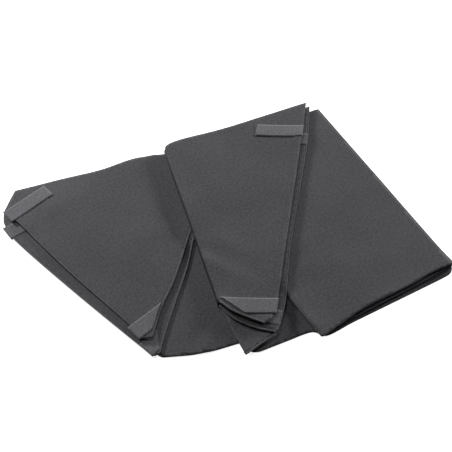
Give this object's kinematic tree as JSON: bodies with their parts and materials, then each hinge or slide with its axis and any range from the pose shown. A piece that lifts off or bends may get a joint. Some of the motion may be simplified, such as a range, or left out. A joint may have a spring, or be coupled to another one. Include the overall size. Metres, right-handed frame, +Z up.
{
  "type": "wheel cover set",
  "caption": "Folded charcoal fabric wheel covers, one lying on the other, with hemmed flaps and hook-and-loop straps wrapped round the hems.",
  "frame": {"origin": "centre of the underside of the overall box, on the table", "axes": "+Z up from the table, +X along the longest side towards the upper cover, +Y away from the front"},
  "size_m": [0.7594, 0.5678, 0.0312],
  "materials": {
    "cover_fabric": "matte woven",
    "hem_fabric": "matte woven, stitched",
    "hook_tape": "matte ribbed",
    "loop_tape": "matte pile"
  },
  "bodies": {
    "left_cover": {"left_body_front": "cover_fabric", "left_body_back": "cover_fabric", "left_flap_front_fold": "cover_fabric", "left_flap_back_fold": "cover_fabric", "left_flap_back": "cover_fabric", "left_flap_back_end_hem": "hem_fabric", "left_flap_back_side_hem": "hem_fabric", "left_flap_front_held": "cover_fabric", "left_back_upper_strap_wrap": "hook_tape", "left_back_upper_strap_tail": "hook_tape", "left_back_lower_strap_wrap": "hook_tape", "left_back_lower_strap_tail": "hook_tape"},
    "left_upper_layer": {"left_flap_front": "cover_fabric", "left_flap_front_end_hem": "hem_fabric", "left_flap_front_side_hem": "hem_fabric", "left_upper_strap_wrap": "hook_tape", "left_upper_loop_patch": "loop_tape", "left_lower_strap_wrap": "hook_tape", "left_lower_loop_patch": "loop_tape"},
    "left_upper_strap": {"left_upper_strap_tail": "hook_tape"},
    "left_lower_strap": {"left_lower_strap_tail": "hook_tape"},
    "right_cover": {"right_body_front": "cover_fabric", "right_body_back": "cover_fabric", "right_panel_inner": "cover_fabric", "right_panel_outer": "cover_fabric", "right_panel_outer_fold": "cover_fabric", "right_panel_inner_fold": "cover_fabric", "right_flap_front_fold": "cover_fabric", "right_flap_back_fold": "cover_fabric"},
    "right_flap": {"right_flap_back": "cover_fabric", "right_flap_back_end_hem": "hem_fabric", "right_flap_back_side_hem": "hem_fabric", "right_back_upper_strap_wrap": "hook_tape", "right_back_upper_strap_tail": "hook_tape", "right_back_lower_strap_wrap": "hook_tape", "right_back_lower_strap_tail": "hook_tape"},
    "right_upper_layer": {"right_flap_front": "cover_fabric", "right_flap_front_end_hem": "hem_fabric", "right_flap_front_side_hem": "hem_fabric", "right_upper_strap_wrap": "hook_tape", "right_upper_loop_patch": "loop_tape", "right_lower_strap_wrap": "hook_tape", "right_lower_loop_patch": "loop_tape"},
    "right_upper_strap": {"right_upper_strap_tail": "hook_tape"},
    "right_lower_strap": {"right_lower_strap_tail": "hook_tape"}
  },
  "joints": [
    {"name": "cover_lift", "type": "slide", "parent": "left_cover", "child": "right_cover", "axis": [0, 0, 1], "range_m": [0, 0.25]},
    {"name": "right_flap_open", "type": "hinge", "parent": "right_cover", "child": "right_flap", "pos_m": [-0.09671, 0.14813, 0.01865], "axis": [0.276, -0.9611, 0.0074], "range_deg": [0, 65], "deforming": ["right_flap_front_fold", "right_flap_back_fold"]},
    {"name": "right_upper_layer_lift", "type": "hinge", "parent": "right_flap", "child": "right_upper_layer", "pos_m": [-0.09671, 0.14813, 0.01865], "axis": [0.276, -0.9611, 0.0074], "range_deg": [0, 40]},
    {"name": "right_upper_strap_peel", "type": "hinge", "parent": "right_upper_layer", "child": "right_upper_strap", "pos_m": [0.13548, 0.20272, 0.01998], "axis": [0.0346, 0.9992, -0.0183], "range_deg": [0, 120]},
    {"name": "right_lower_strap_peel", "type": "hinge", "parent": "right_upper_layer", "child": "right_lower_strap", "pos_m": [0.07012, -0.1977, 0.02899], "axis": [0.2869, 0.9576, -0.0259], "range_deg": [0, 120]},
    {"name": "left_upper_layer_lift", "type": "hinge", "parent": "left_cover", "child": "left_upper_layer", "pos_m": [-0.08614, 0.05591, 0.0102], "axis": [-0.2761, 0.9611, 0], "range_deg": [0, 20]},
    {"name": "left_upper_strap_peel", "type": "hinge", "parent": "left_upper_layer", "child": "left_upper_strap", "pos_m": [-0.35615, 0.00972, 0.0129], "axis": [0.7009, -0.7133, 0], "range_deg": [0, 120]},
    {"name": "left_lower_strap_peel", "type": "hinge", "parent": "left_upper_layer", "child": "left_lower_strap", "pos_m": [-0.12464, -0.22859, 0.0129], "axis": [0.6743, -0.7385, 0], "range_deg": [0, 120]}
  ]
}
